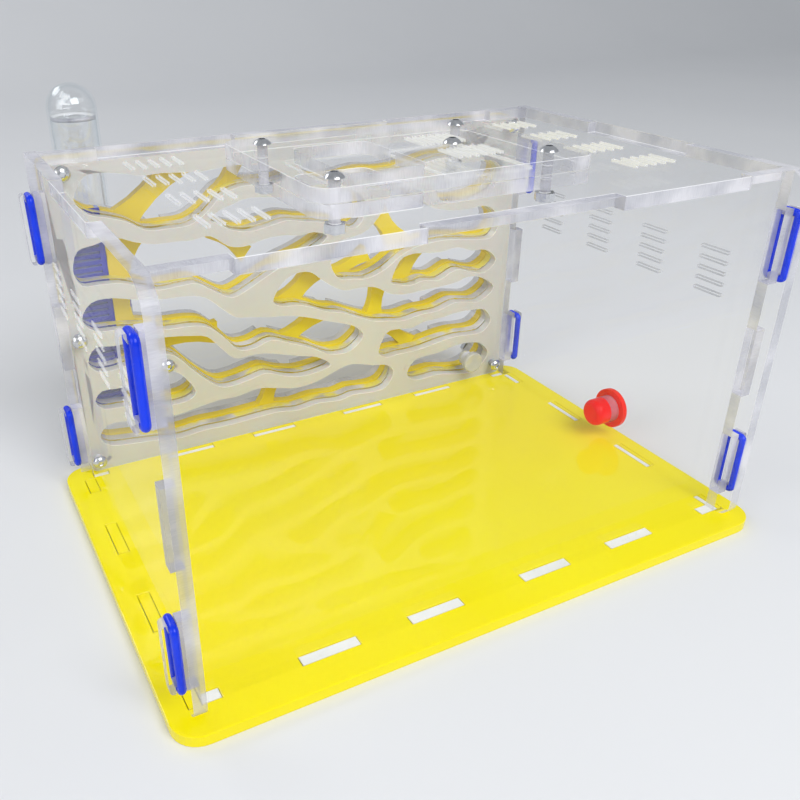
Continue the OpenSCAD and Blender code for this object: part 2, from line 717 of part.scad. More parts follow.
module hatch_screws() {
    shank = 3 * sheet + nut_t + screw_end;
    color(steel_c) in_arena() for (sx = [-1, 1], sy = [-1, 1])
        translate([hatch_cx + sx * hatch_screw_x / 2, hatch_y + sy * hatch_screw_y / 2, hatch_top])
            dome_screw(shank);
}

module hatch_nuts() {
    color(steel_c) in_arena() for (sx = [-1, 1], sy = [-1, 1])
        translate([hatch_cx + sx * hatch_screw_x / 2, hatch_y + sy * hatch_screw_y / 2, lid_z - nut_t])
            nut();
}

module shutter_knob() {
    color(steel_c) in_arena() translate([shutter_cx, knob_y, hatch_top + head_gap])
        dome_screw(2 * sheet + head_gap - shutter_gap);
}

// Nest ---------------------------------------------------------------------------------

module nest_screw_holes(y, t) {
    for (p = nest_screw_at)
        translate([p[0], y + t / 2, p[1]]) rotate([90, 0, 0])
            cylinder(d = hole_d, h = t + 2 * through, center = true);
}

module nest_outline() {
    round_rect(nest_x, 0, nest_x + nest_w, nest_h, nest_r);
}

module gallery_outlines(drop = 0) {
    for (g = galleries) polygon(smooth_loop(gallery_points(g, drop)));
}

// A straight strip from one point to the other
module strip(x1, z1, x2, z2, w) {
    len = norm([x2 - x1, z2 - z1]);
    translate([x1, z1]) rotate(atan2(z2 - z1, x2 - x1)) translate([0, -w / 2]) square([len, w]);
}

// A bridge from one point to the other, narrow in the middle and flared at its ends
module bridge(x1, z1, x2, z2, w) {
    run = norm([x2 - x1, z2 - z1]);
    waist = [[0, 0.75], [0.3, 0.48], [0.5, 0.42], [0.7, 0.48], [1, 0.75]];
    translate([x1, z1]) rotate(atan2(z2 - z1, x2 - x1)) polygon(concat(
        [for (p = waist) [p[0] * run, -p[1] * w]],
        [for (i = [len(waist) - 1:-1:0]) [waist[i][0] * run, waist[i][1] * w]]));
}

module bridge_outlines() {
    for (b = bridges)
        bridge(nx(b[0]), nz(b[1]), nx(b[2]), nz(b[3]), b[4] * nest_w / drawing[1]);
}

module link_outlines() {
    for (k = links) strip(nx(k[0]), nz(k[1]), nx(k[0]), nz(k[2]), link_w);
}

module nest_front_layer() {
    color(milky_c) in_arena() difference() {
        upright(layer_y[0], layer_t) difference() {
            nest_outline();
            gallery_outlines(front_drop);
        }
        nest_screw_holes(layer_y[0], layer_t);
    }
}

module nest_clear_layer() {
    color(clear_c) in_arena() difference() {
        upright(layer_y[1], layer_t) difference() {
            nest_outline();
            gallery_outlines(clear_drop);
        }
        nest_screw_holes(layer_y[1], layer_t);
    }
}

module nest_yellow_layer() {
    color(yellow_c) in_arena() difference() {
        upright(layer_y[2], layer_t) difference() {
            nest_outline();
            difference() {
                gallery_outlines();
                bridge_outlines();
            }
            translate([nest_x + humid_in - humid_gap, humid_z - humid_gap])
                square([humid_w + 2 * humid_gap, humid_h + 2 * humid_gap]);
        }
        nest_screw_holes(layer_y[2], layer_t);
    }
}

module humidity_plate() {
    rows = floor((window_h - humid_slit) / humid_pitch);
    color(humid_c) in_arena() upright(layer_y[2], layer_t) difference() {
        translate([nest_x + humid_in, humid_z]) square([humid_w, humid_h]);
        for (k = [0:rows])
            translate([window_x, window_z + k * humid_pitch]) square([window_w, humid_slit]);
    }
}

module nest_rear_layer() {
    color(clear_c) in_arena() difference() {
        upright(layer_y[3], layer_t) difference() {
            nest_outline();
            difference() {
                union() {
                    gallery_outlines();
                    link_outlines();
                }
                translate([nest_x - join, -join])
                    square([rear_strip + join, nest_h + 2 * join]);
            }
            translate([window_x, window_z]) square([window_w, window_h]);
        }
        nest_screw_holes(layer_y[3], layer_t);
    }
}

module reservoir_water() {
    color(water_c) in_arena() upright(layer_y[3] + slot_gap, layer_t - 2 * slot_gap)
        translate([window_x + slot_gap, window_z + slot_gap])
            square([window_w - 2 * slot_gap, window_h - 2 * slot_gap]);
}

module nest_back_sheet() {
    color(clear_c) in_arena() difference() {
        upright(layer_y[4], layer_t) nest_outline();
        nest_screw_holes(layer_y[4], layer_t);
        translate([water_hole_x, layer_y[4] + layer_t / 2, water_hole_z]) rotate([90, 0, 0])
            cylinder(d = water_hole_d, h = layer_t + 2 * through, center = true);
    }
}

module nest_screws() {
    shank = stack_end - back_y + nut_t + screw_end;
    color(steel_c) in_arena() for (p = nest_screw_at)
        translate([p[0], back_y, p[1]]) rotate([90, 0, 0]) dome_screw(shank);
}

module nest_nuts() {
    color(steel_c) in_arena() for (p = nest_screw_at)
        translate([p[0], stack_end + nut_t, p[1]]) rotate([90, 0, 0]) nut();
}

// Water supply -------------------------------------------------------------------------

// A round block of radius r about the tube's axis, cut flat where it meets the nest
module tube_block(r, z, h) {
    level(z, h) intersection() {
        translate([tube_x, tube_y]) circle(r = r, $fn = tube_fn);
        translate([tube_x - r - through, stack_end])
            square([2 * (r + through), tube_y - stack_end + r + through]);
    }
}

// A round cutter about the tube's axis that runs out past its top
module tube_bore(r, z, h) {
    translate([tube_x, tube_y, z]) cylinder(r = r, h = h + through, $fn = tube_fn);
}

module tube_socket() {
    color(clear_c) in_arena() difference() {
        tube_block(socket_r, socket_z, well_h + socket_grip);
        tube_bore(tube_d / 2 + tube_gap, tube_mouth, socket_grip);
        tube_bore(tube_d / 2 - tube_wall, socket_z + well_floor, well_h - well_floor);
        translate([water_hole_x, stack_end - through, water_hole_z]) rotate([-90, 0, 0])
            cylinder(d = water_hole_d, h = tube_y - stack_end);
    }
}

module tube_guide() {
    color(clear_c) in_arena() difference() {
        tube_block(socket_r, guide_z, sheet);
        tube_bore(tube_d / 2 + tube_gap, guide_z - through, sheet + through);
    }
}

module tube_seal() {
    color(blue_c) in_arena() difference() {
        tube_block(socket_r - tube_gap, tube_mouth + socket_grip, seal_t);
        tube_bore(tube_d / 2 + tube_gap, tube_mouth + socket_grip - through, seal_t + through);
    }
}

// Half the outline of a round-ended rod of radius r and length l
module dome_outline(r, l) {
    square([r, l - r]);
    translate([0, l - r]) intersection() {
        circle(r = r, $fn = tube_fn);
        square([r, r]);
    }
}

module test_tube() {
    inner_r = tube_d / 2 - tube_wall;
    color(clear_c) in_arena() translate([tube_x, tube_y, tube_mouth])
        rotate_extrude($fn = tube_fn) difference() {
            dome_outline(tube_d / 2, tube_l);
            translate([0, -through]) dome_outline(inner_r, tube_l - tube_wall + through);
        }
}

module tube_water() {
    water_r = tube_d / 2 - tube_wall - stopper_gap;
    color(water_c) in_arena() translate([tube_x, tube_y, tube_mouth + slot_gap])
        cylinder(r = water_r, h = tube_l - tube_air - slot_gap, $fn = tube_fn);
}

// Stoppers -----------------------------------------------------------------------------

// Profile turned about its axis: the flange is above the origin and the plug below
module stopper(plug_d, plug_l, flange_d, nose) {
    rim = flange_t / 3;
    rotate_extrude() {
        translate([0, -plug_l + nose]) square([plug_d / 2, plug_l - nose + join]);
        translate([0, -plug_l]) square([plug_d / 2 - nose, nose + join]);
        translate([plug_d / 2 - nose, -plug_l + nose]) circle(r = nose);
        square([flange_d / 2 - rim, flange_t]);
        square([flange_d / 2, flange_t - rim]);
        translate([flange_d / 2 - rim, flange_t - rim]) circle(r = rim);
    }
}

module red_port_plug() {
    color(red_c) in_arena() translate([arena_w, port_y, port_z]) rotate([0, 90, 0])
        stopper(port_d - 2 * stopper_gap, sheet + port_inside, port_flange_d, port_nose);
}

module nest_entry_plug() {
    color(clear_c) in_arena() translate([entry_x, back_y, entry_z]) rotate([90, 0, 0])
        stopper(entry_d - 2 * stopper_gap, sheet + entry_inside, entry_flange_d, entry_nose);
}

base_plate();
front_panel();
back_panel();
left_panel();
right_panel();
ring_front_left_lower();
ring_front_left_upper();
ring_front_right_lower();
ring_front_right_upper();
ring_back_left_lower();
ring_back_left_upper();
ring_back_right_lower();
ring_back_right_upper();
top_panel();
hatch_frame();
hatch_cover();
hatch_screws();
hatch_nuts();
feed_shutter();
shutter_knob();
nest_front_layer();
nest_clear_layer();
nest_yellow_layer();
humidity_plate();
nest_rear_layer();
reservoir_water();
nest_back_sheet();
nest_screws();
nest_nuts();
tube_socket();
tube_guide();
tube_seal();
test_tube();
tube_water();
red_port_plug();
nest_entry_plug();
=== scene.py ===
"""Looks of the ant habitat: clear cut sheets on a gloss yellow base, a layered nest behind them,
blue silicone rings, chrome screws, a water tube and two silicone stoppers."""

import math

import bmesh
import bpy
from mathutils import Matrix, Vector


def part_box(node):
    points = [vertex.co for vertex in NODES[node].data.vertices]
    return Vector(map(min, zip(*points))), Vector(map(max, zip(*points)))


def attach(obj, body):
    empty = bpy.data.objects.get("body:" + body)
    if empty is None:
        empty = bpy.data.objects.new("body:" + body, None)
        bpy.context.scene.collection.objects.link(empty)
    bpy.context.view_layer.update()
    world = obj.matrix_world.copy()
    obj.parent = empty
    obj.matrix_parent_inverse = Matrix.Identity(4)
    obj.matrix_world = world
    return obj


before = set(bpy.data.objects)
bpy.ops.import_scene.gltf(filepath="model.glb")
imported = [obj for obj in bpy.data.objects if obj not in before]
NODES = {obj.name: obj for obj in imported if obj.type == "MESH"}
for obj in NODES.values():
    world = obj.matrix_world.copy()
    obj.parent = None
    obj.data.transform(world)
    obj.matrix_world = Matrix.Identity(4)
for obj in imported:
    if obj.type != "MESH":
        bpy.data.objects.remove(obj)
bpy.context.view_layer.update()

MM = 0.001

# Places taken from the frame
BASE_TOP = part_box("base_plate")[1][2]
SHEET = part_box("hatch_cover")[1][2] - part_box("hatch_cover")[0][2]

# Two places closer than this are the same place
TOUCH = 0.2 * MM

# Camera: place in millimetres, and its right, up and back directions
CAMERA_AT = (-142.41, -237.71, 190.28)
CAMERA_RIGHT = (0.8839, -0.4676, -0.0007)
CAMERA_UP = (0.2226, 0.4195, 0.8801)
CAMERA_BACK = (-0.4112, -0.7781, 0.4749)
LENS = 38.28
SENSOR = 36.0
SHIFT = (0.0535, 0.0127)


def show(name, data):
    """A new object of the scene."""
    made = bpy.data.objects.new(name, data)
    bpy.context.scene.collection.objects.link(made)
    return made


def srgb(red, green, blue):
    """A linear colour from 0 to 255 screen values."""
    def lin(c):
        c = c / 255
        return c / 12.92 if c <= 0.04045 else ((c + 0.055) / 1.055) ** 2.4
    return (lin(red), lin(green), lin(blue), 1.0)


# Shader building ------------------------------------------------------------------------

class Shader:
    """A material with one Principled shader, and short calls that add its nodes."""

    def __init__(self, name, **sockets):
        self.mat = bpy.data.materials.new(name)
        self.mat.use_nodes = True
        self.tree = self.mat.node_tree
        self.bsdf = self.tree.nodes["Principled BSDF"]
        for key, value in sockets.items():
            self.bsdf.inputs[key.replace("_", " ")].default_value = value

    def node(self, kind, inputs=None, **settings):
        made = self.tree.nodes.new("ShaderNode" + kind)
        for key, value in settings.items():
            setattr(made, key, value)
        for key, value in (inputs or {}).items():
            self.put(made.inputs[key], value)
        return made

    def put(self, socket, value):
        if hasattr(value, "is_linked"):
            self.tree.links.new(value, socket)
        else:
            socket.default_value = value

    def math(self, operation, *values, clamp=False):
        made = self.node("Math", operation=operation, use_clamp=clamp)
        for i, value in enumerate(values):
            self.put(made.inputs[i], value)
        return made.outputs[0]

    def mix(self, factor, low, high):
        """A number from low to high."""
        made = self.node("Mix", data_type="FLOAT")
        for socket, value in zip(made.inputs[:1] + made.inputs[2:4], (factor, low, high)):
            self.put(socket, value)
        return made.outputs[0]

    def mix_colour(self, factor, low, high):
        made = self.node("Mix", data_type="RGBA")
        for socket, value in zip(made.inputs[:1] + made.inputs[6:8], (factor, low, high)):
            self.put(socket, value)
        return made.outputs[2]

    def place(self):
        """The point's place on the object, in metres."""
        return self.node("TexCoord").outputs["Object"]

    def places(self):
        """The point's place on each axis."""
        return self.node("SeparateXYZ", {"Vector": self.place()}).outputs

    def normals(self):
        """The face's direction on each axis."""
        normal = self.node("NewGeometry").outputs["True Normal"]
        return self.node("SeparateXYZ", {"Vector": normal}).outputs

    def between(self, value, low, high):
        """One from low to high, and zero outside."""
        return self.math("MULTIPLY", self.math("GREATER_THAN", value, low),
                         self.math("LESS_THAN", value, high))

    def noise(self, scale, detail=3.0, stretch=(1, 1, 1), roughness=0.5):
        at = self.node("Mapping", {"Vector": self.place(), "Scale": stretch}).outputs[0]
        made = self.node("TexNoise", {"Vector": at, "Scale": scale, "Detail": detail,
                                      "Roughness": roughness})
        return made.outputs["Fac"]

    def grazing(self, power):
        """Zero where a face is seen straight on and one at its rim, from both of its sides."""
        facing = self.node("LayerWeight", {"Blend": 0.5}).outputs["Facing"]
        return self.math("POWER", facing, power)

    def ramp(self, value, low, high, out_low=0.0, out_high=1.0):
        made = self.node("MapRange", {"Value": value, "From Min": low, "From Max": high,
                                      "To Min": out_low, "To Max": out_high})
        return made.outputs[0]

    def bump(self, height, distance):
        self.to("Normal", self.node("Bump", {"Height": height, "Distance": distance}).outputs[0])

    def to(self, socket, value):
        self.put(self.bsdf.inputs[socket], value)


# Materials ------------------------------------------------------------------------------

AXES = {"x": 0, "y": 1, "z": 2}
# How strongly acrylic sheet bends light
ACRYLIC = 1.49
EDGE_COLOUR = srgb(228, 227, 233)
EDGE_SHADE = srgb(164, 165, 179)
# Painted highlight colour, for broken corners, slit strokes and the milky plate's rims
HIGHLIGHT_COLOUR = srgb(252, 253, 255)
PLAIN = (1, 1, 1, 1)
# What a clear face mirrors at its most slanting, and how high the stroke of a slit's wall looks
GRAZING = 0.22
STROKE = 0.8 * MM
# How strong the painted strokes are on a slit's other walls: painted shade
UNLIT = 0.3
# A broken corner's direction across the sheet lies between these, and a face's above them
CORNER, FACE = 0.25, 0.95
# The tones of a cut edge run from dark to light between these values of its streaks
STREAKS = (0.36, 0.64)
# Middle part of a noise, which gives all of a tone's range
TONES = (0.3, 0.7)


def within(shader, parts, axes, box):
    """One inside a box (low, high, low, high) in millimetres on two axes, and zero outside."""
    return shader.math("MULTIPLY",
                       shader.between(parts[axes[0]], box[0] * MM, box[1] * MM),
                       shader.between(parts[axes[1]], box[2] * MM, box[3] * MM))


def clear_sheet(name, axis, edge_alpha=0.6, straight=0.015, in_base=False, near=0.0, slits=(),
                stroke=STROKE, stroke_colour=HIGHLIGHT_COLOUR, highlight_alpha=0.8, spread=0.12,
                reflection_colour=None):
    """Clear polished sheet whose faces look along one axis, with frosty laser-cut edges.

    The sheet bends what is seen through it, so that a slit's walls look much lower than they
    are: inside the slits' boxes the walls show as a short stroke next to the near face, painted
    in a highlight colour. The stroke is strongest on walls that face up in an upright sheet, or
    towards -x in a flat one, and is painted as in shade on the others. Each box comes with how
    strong its strokes are.
    """
    shader = Shader(name, IOR=ACRYLIC)
    parts = shader.normals()
    across = shader.math("ABSOLUTE", parts[AXES[axis]])
    face = shader.math("GREATER_THAN", across, FACE)
    # The fine broken corner between a face and a cut edge is painted as a bright line: a painted
    # highlight
    highlight_line = shader.math("MULTIPLY", shader.math("GREATER_THAN", across, CORNER),
                       shader.math("SUBTRACT", 1.0, face))
    # Cut edges: faint striations across the sheet's thickness, and slow light and dark bands
    # that are a painted reflection of the surroundings
    stretch = [0.1 if i == AXES[axis] else 1.0 for i in range(3)]
    lines = shader.noise(3500, 2, stretch)
    bands = shader.noise(55, 2)
    streak = shader.math("MULTIPLY_ADD", lines, 0.1, shader.math("MULTIPLY", bands, 0.9))
    edge_tone = shader.ramp(streak, *STREAKS)
    edge_colour = shader.mix_colour(edge_tone, EDGE_SHADE, EDGE_COLOUR)
    if reflection_colour:
        # Painted reflection: patches of the next layer's colour, as if mirrored in the cut edges
        patch = shader.ramp(shader.noise(75, 2, (1, 1, 0.5)), 0.46, 0.56)
        edge_colour = shader.mix_colour(patch, edge_colour, reflection_colour)
    edge_colour = shader.mix_colour(highlight_line, edge_colour, HIGHLIGHT_COLOUR)
    edge_see = shader.ramp(streak, *STREAKS, edge_alpha - spread, edge_alpha + spread)
    edge_see = shader.mix(highlight_line, edge_see, highlight_alpha)
    if slits:
        at = shader.places()
        others = [i for i in range(3) if i != AXES[axis]]
        inside, strength = 0.0, 0.0
        for box, strong in slits:
            here = within(shader, at, others, box)
            inside = shader.math("MAXIMUM", inside, here)
            strength = shader.math("MULTIPLY_ADD", here, strong, strength)
        depth = shader.math("ABSOLUTE", shader.math("SUBTRACT", at[AXES[axis]], near))
        band = shader.ramp(depth, stroke, stroke * 1.3, 1.0, 0.03)
        # Painted light and shade: walls facing up (upright sheet) or towards -x (flat sheet) get
        # the full stroke, the others UNLIT
        lit = (shader.math("GREATER_THAN", parts[2], 0.5) if axis == "x"
               else shader.math("LESS_THAN", parts[0], -0.5))
        band = shader.math("MULTIPLY", band, shader.mix(lit, UNLIT, 1.0))
        edge_see = shader.mix(inside, edge_see, shader.math("MULTIPLY", band, strength))
        edge_colour = shader.mix_colour(inside, edge_colour, stroke_colour)
    # Faces: mirror reflection by angle, with faint smudges
    smudge = shader.ramp(shader.noise(24, 5, roughness=0.65), 0.52, 0.8)
    mirror = shader.mix(shader.grazing(5.0), straight, GRAZING)
    face_see = shader.math("MULTIPLY_ADD", smudge, 0.006, mirror)
    if in_base:
        # The wall's foot is clear where it touches the base plate
        foot = shader.math("LESS_THAN", shader.places()[2], BASE_TOP + TOUCH)
        edge_see = shader.mix(foot, edge_see, 0.08)
    shader.to("Base Color", shader.mix_colour(face, edge_colour, PLAIN))
    shader.to("Metallic", face)
    shader.to("Roughness", shader.mix(face, shader.ramp(streak, *TONES, 0.34, 0.16),
                                      shader.math("MULTIPLY_ADD", smudge, 0.2, 0.015)))
    shader.to("Alpha", shader.mix(face, edge_see, face_see))
    return shader.mat


def yellow_sheet(name, low, high, smooth, scuffed, gloss):
    """Opaque sheet with a slow drift of colour, faint scuffs and a slight waviness."""
    shader = Shader(name, IOR=gloss)
    tone = shader.noise(9, 3)
    shader.to("Base Color", shader.mix_colour(shader.ramp(tone, *TONES), low, high))
    scuff = shader.ramp(shader.noise(60, 6, roughness=0.7), 0.5, 0.8)
    shader.to("Roughness", shader.ramp(scuff, 0, 1, smooth, scuffed))
    shader.bump(shader.noise(7, 1), 0.000003)
    return shader.mat


def milky_sheet(name):
    """Milky plate. The broken corners round its galleries get a painted highlight: white that also
    glows.
    """
    shader = Shader(name, IOR=ACRYLIC, Subsurface_Weight=0.25, Subsurface_Scale=0.004)
    tone = shader.noise(16, 3)
    face = shader.mix_colour(shader.ramp(tone, *TONES), srgb(208, 206, 204),
                             srgb(220, 219, 217))
    across = shader.math("ABSOLUTE", shader.normals()[1])
    # Painted highlight: the rims are painted white and made to glow
    rim = shader.between(across, CORNER, FACE)
    shader.to("Base Color", shader.mix_colour(rim, face, HIGHLIGHT_COLOUR))
    shader.to("Emission Color", HIGHLIGHT_COLOUR)
    shader.to("Emission Strength", shader.math("MULTIPLY", rim, 0.45))
    shader.to("Roughness", shader.ramp(shader.noise(90, 4), *TONES, 0.28, 0.40))
    shader.bump(shader.noise(420, 3), 0.00002)
    return shader.mat


def blue_sheet(name):
    """Blue plate. The walls of its fine slits that face up are painted a lighter blue: a painted
    highlight.
    """
    shader = Shader(name, IOR=ACRYLIC)
    tone = shader.noise(30, 3)
    face = shader.mix_colour(tone, srgb(4, 14, 150), srgb(10, 30, 196))
    # Painted highlight: slit walls that face up get a lighter blue
    wall = shader.math("GREATER_THAN", shader.normals()[2], 0.5)
    shader.to("Base Color", shader.mix_colour(wall, face, srgb(132, 150, 232)))
    shader.to("Roughness", shader.ramp(shader.noise(120, 3), *TONES, 0.14, 0.26))
    return shader.mat


def silicone(name, low, high, roughness, **sockets):
    """Soft satin silicone with a fine uneven skin."""
    shader = Shader(name, IOR=1.41, **sockets)
    tone = shader.noise(110, 4)
    shader.to("Base Color", shader.mix_colour(shader.ramp(tone, *TONES), low, high))
    shader.to("Roughness", shader.ramp(shader.noise(600, 3), *TONES,
                                       roughness - 0.05, roughness + 0.08))
    shader.bump(shader.noise(300, 2), 0.00001)
    return shader.mat


def steel(name, faint=None):
    """Polished steel. Between the two heights of faint, clear sheet hides most of the shank."""
    shader = Shader(name, Metallic=1.0)
    tone = shader.noise(900, 3)
    shader.to("Base Color", shader.mix_colour(tone, srgb(188, 190, 194), srgb(226, 227, 230)))
    shader.to("Roughness", shader.ramp(tone, *TONES, 0.12, 0.26))
    if faint:
        hidden = shader.between(shader.places()[2], *faint)
        shader.to("Alpha", shader.mix(hidden, 1.0, 0.15))
    return shader.mat


def clear_round(name, tint, straight):
    """Clear round wall or water: reflection by angle."""
    shader = Shader(name, Metallic=1.0, Roughness=0.02)
    shader.to("Base Color", shader.mix_colour(shader.noise(30, 2), tint, PLAIN))
    rim = shader.math("MULTIPLY", shader.grazing(3.0), 0.75)
    shader.to("Alpha", shader.math("ADD", rim, straight, clamp=True))
    return shader.mat


# Places of the slits (low and high on the sheet's two axes, in millimetres), and how strong
# their painted highlight strokes are
LEFT_VENTS = [((-49.5, 50.5, 83, 100), 0.45)]
RIGHT_VENTS = [((-49.5, 50.5, 83, 100), 1.0)]
LID_VENTS = [((-80, -61, -40, 45), 0.8), ((61, 80, -40, 45), 0.9), ((-1.5, 15.5, -33, -0.5), 0.25)]
GRILLE = [((-13.5, 15.5, -33, -20.6), 0.8), ((-13.5, 15.5, -20.6, -12.9), 0.25),
          ((-13.5, 15.5, -12.9, -0.5), 0.8)]
CHANNEL = [((-41.5, 22, -39.5, 2.5), 0.6)]
clear_left = clear_sheet("clear_left", "x", in_base=True, slits=LEFT_VENTS,
                         near=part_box("left_panel")[0][0], stroke=0.5 * MM)
clear_right = clear_sheet("clear_right", "x", in_base=True, slits=RIGHT_VENTS,
                          near=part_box("right_panel")[0][0], stroke=1.3 * MM,
                          stroke_colour=srgb(190, 191, 194))
clear_y = clear_sheet("clear_sheet_y", "y", edge_alpha=0.72, in_base=True)
clear_nest = clear_sheet("clear_sheet_nest", "y", edge_alpha=0.7)
clear_painted_reflection = clear_sheet("clear_sheet_painted_reflection", "y", edge_alpha=0.85, reflection_colour=srgb(238, 226, 84))
clear_z = clear_sheet("clear_sheet_z", "z")
clear_lid, clear_cover, clear_frame, clear_shutter = (
    clear_sheet("clear_" + node, "z", edge_alpha=alpha, slits=boxes, near=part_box(node)[1][2],
                highlight_alpha=highlight_line, spread=spread)
    for node, alpha, highlight_line, spread, boxes in (
        ("top_panel", 0.6, 0.7, 0.15, LID_VENTS), ("hatch_cover", 0.45, 0.5, 0.25, GRILLE),
        ("hatch_frame", 0.4, 0.12, 0.25, CHANNEL), ("feed_shutter", 0.4, 0.3, 0.2, CHANNEL)))
yellow = yellow_sheet("yellow_sheet", srgb(250, 230, 0), srgb(254, 240, 2), 0.02, 0.08, 1.42)
yellow_nest = yellow_sheet("yellow_nest", srgb(230, 202, 2), srgb(242, 218, 4), 0.34, 0.48, 1.36)
milky = milky_sheet("milky_sheet")
royal = blue_sheet("humidity_blue")
ring_blue = silicone("ring_blue", srgb(0, 46, 214), srgb(4, 60, 240), 0.2)
plug_red = silicone("plug_red", srgb(240, 12, 4), srgb(255, 30, 12), 0.16,
                    Subsurface_Weight=0.15, Subsurface_Scale=0.004, Specular_IOR_Level=0.3)
plug_clear = silicone("plug_clear", srgb(226, 227, 226), srgb(244, 244, 243), 0.08,
                      Transmission_Weight=0.55)
chrome = steel("chrome_steel")
chrome_hatch = steel("chrome_hatch", (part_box("top_panel")[0][2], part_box("hatch_cover")[1][2]))
tube_clear = clear_round("tube_clear", srgb(226, 238, 244), 0.06)
water_clear = clear_round("water_clear", srgb(206, 226, 236), 0.05)

MATERIALS = {
    "base_plate": yellow, "nest_yellow_layer": yellow_nest, "nest_front_layer": milky,
    "humidity_plate": royal, "tube_seal": ring_blue, "red_port_plug": plug_red,
    "nest_entry_plug": plug_clear, "test_tube": tube_clear, "tube_water": water_clear,
    "reservoir_water": water_clear, "left_panel": clear_left, "right_panel": clear_right,
    "front_panel": clear_y, "back_panel": clear_y, "nest_clear_layer": clear_painted_reflection,
    "nest_rear_layer": clear_nest, "nest_back_sheet": clear_nest, "top_panel": clear_lid,
    "hatch_frame": clear_frame, "hatch_cover": clear_cover, "feed_shutter": clear_shutter,
    "tube_socket": clear_z, "tube_guide": clear_z,
}
for name in NODES:
    if name.startswith("ring_"):
        MATERIALS[name] = ring_blue
    elif name.endswith(("screws", "nuts", "knob")):
        MATERIALS[name] = chrome_hatch if name in ("hatch_screws", "shutter_knob") else chrome

for name, mat in MATERIALS.items():
    slots = NODES[name].material_slots
    for slot in slots:
        slot.material = mat
    if not slots:
        NODES[name].data.materials.append(mat)


# Pieces that the imported model doesn't hold ------------------------------------------------

# Plates in the wall tabs, which are painted light: thickness, depth of their middle below the
# base plate's top, gap to the tab's sides, and how much of the back and right walls' tabs
# shows painted white light
TAB_THICK, TAB_DEPTH, TAB_INSET, TAB_WHITE = 0.4 * MM, 0.3 * MM, 0.15 * MM, 2.0 * MM


def lathe(name, profile, centre, mat, body, steps=96):
    """A closed profile of (radius, height) points turned about an upright axis."""
    verts = []
    for k in range(steps):
        a = math.tau * k / steps
        verts += [(centre[0] + r * math.cos(a), centre[1] + r * math.sin(a), z)
                  for r, z in profile]
    n = len(profile)
    faces = [(k * n + i, ((k + 1) % steps) * n + i, ((k + 1) % steps) * n + (i + 1) % n,
              k * n + (i + 1) % n) for k in range(steps) for i in range(n)]
    mesh = bpy.data.meshes.new(name)
    mesh.from_pydata(verts, [], faces)
    mesh.shade_smooth()
    mesh.materials.append(mat)
    piece = show(name, mesh)
    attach(piece, body)


def meniscus():
    """The collar where the water creeps up the tube's wall, painted bright: a painted highlight.
    """
    low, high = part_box("tube_water")
    centre = ((low[0] + high[0]) / 2, (low[1] + high[1]) / 2)
    outer = (high[0] - low[0]) / 2
    level, under = high[2], high[2] - 0.3 * MM
    climb, reach, steps = 1.2 * MM, outer - 0.4 * MM, 8
    curve = [(outer - reach * k / steps, level + climb * (1 - k / steps) ** 4)
             for k in range(steps + 1)]
    profile = [(outer, under)] + curve + [(outer - reach, under)]
    lathe("water_meniscus", profile, centre, collar, "tube")


def spans(values):
    """Sorted values in pairs: the two ends of each tab."""
    marks = []
    for v in sorted(values):
        if not marks or v - marks[-1] > TOUCH:
            marks.append(v)
    return list(zip(marks[::2], marks[1::2]))


def tab_ends(node, along, start_at, stop_at, kind, mat):
    """Thin plates in a wall's tabs, just below the base plate's top, from start_at to stop_at
    across the wall. They are painted light: they stand for the light that the slot's walls send
    through the tab."""
    ends = []
    for vertex in NODES[node].data.vertices:
        if vertex.co.z < TOUCH:
            ends.append(vertex.co[along])
    across = 1 - along
    wall_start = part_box(node)[0][across]
    mesh = bmesh.new()
    for start, stop in spans(ends):
        size = [0, 0, TAB_THICK]
        middle = [0, 0, BASE_TOP - TAB_DEPTH]
        size[along], middle[along] = stop - start - 2 * TAB_INSET, (start + stop) / 2
        size[across] = stop_at - start_at - 2 * TAB_INSET
        middle[across] = wall_start + (start_at + stop_at) / 2
        place = Matrix.Translation(middle) @ Matrix.Diagonal((*size, 1))
        bmesh.ops.create_cube(mesh, size=1.0, matrix=place)
    data = bpy.data.meshes.new(node + kind)
    mesh.to_mesh(data)
    mesh.free()
    data.materials.append(mat)
    piece = show(node + kind, data)
    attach(piece, "habitat")


# The water's collar takes cut sheet's frosty white edges: a painted highlight
collar = clear_sheet("water_collar", "z", edge_alpha=0.85, straight=0.7)
# Painted light: the white of the tab plates, made with the silicone look
painted_white_light = silicone("painted_white_light", srgb(236, 238, 236), srgb(250, 250, 248), 0.3)
meniscus()
# Painted light: white plates in the tabs' outer strip, and the base's yellow painted in the rest
tab_ends("front_panel", 0, 0, SHEET, "_tab_painted_white", painted_white_light)
for wall, along in (("back_panel", 0), ("right_panel", 1)):
    tab_ends(wall, along, 0, TAB_WHITE, "_tab_painted_white", painted_white_light)
    tab_ends(wall, along, TAB_WHITE, SHEET, "_tab_painted_yellow", yellow)
tab_ends("left_panel", 1, 0, SHEET, "_tab_painted_yellow", yellow)


# Broken corners ---------------------------------------------------------------------------

SHARP = math.radians(40)
WELD = 0.001 * MM


def break_corners(node, width, segments=1):
    """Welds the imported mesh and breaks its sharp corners, as polished sheet has them."""
    weld = NODES[node].modifiers.new("weld", "WELD")
    weld.merge_threshold = WELD
    bevel = NODES[node].modifiers.new("broken_corners", "BEVEL")
    bevel.width = width
    bevel.segments = segments
    bevel.limit_method = "ANGLE"
    bevel.angle_limit = SHARP
    bevel.use_clamp_overlap = True


CLEAR = ["front_panel", "back_panel", "left_panel", "right_panel", "top_panel", "hatch_frame",
         "hatch_cover", "feed_shutter", "nest_clear_layer", "nest_back_sheet", "tube_guide"]
for node in CLEAR:
    break_corners(node, 0.16 * MM)
break_corners("nest_front_layer", 0.45 * MM)
break_corners("base_plate", 0.3 * MM, 2)

# Clear sheet lets the lamps' light through
for node in CLEAR + ["nest_rear_layer"]:
    NODES[node].visible_shadow = False


# Stage ----------------------------------------------------------------------------------

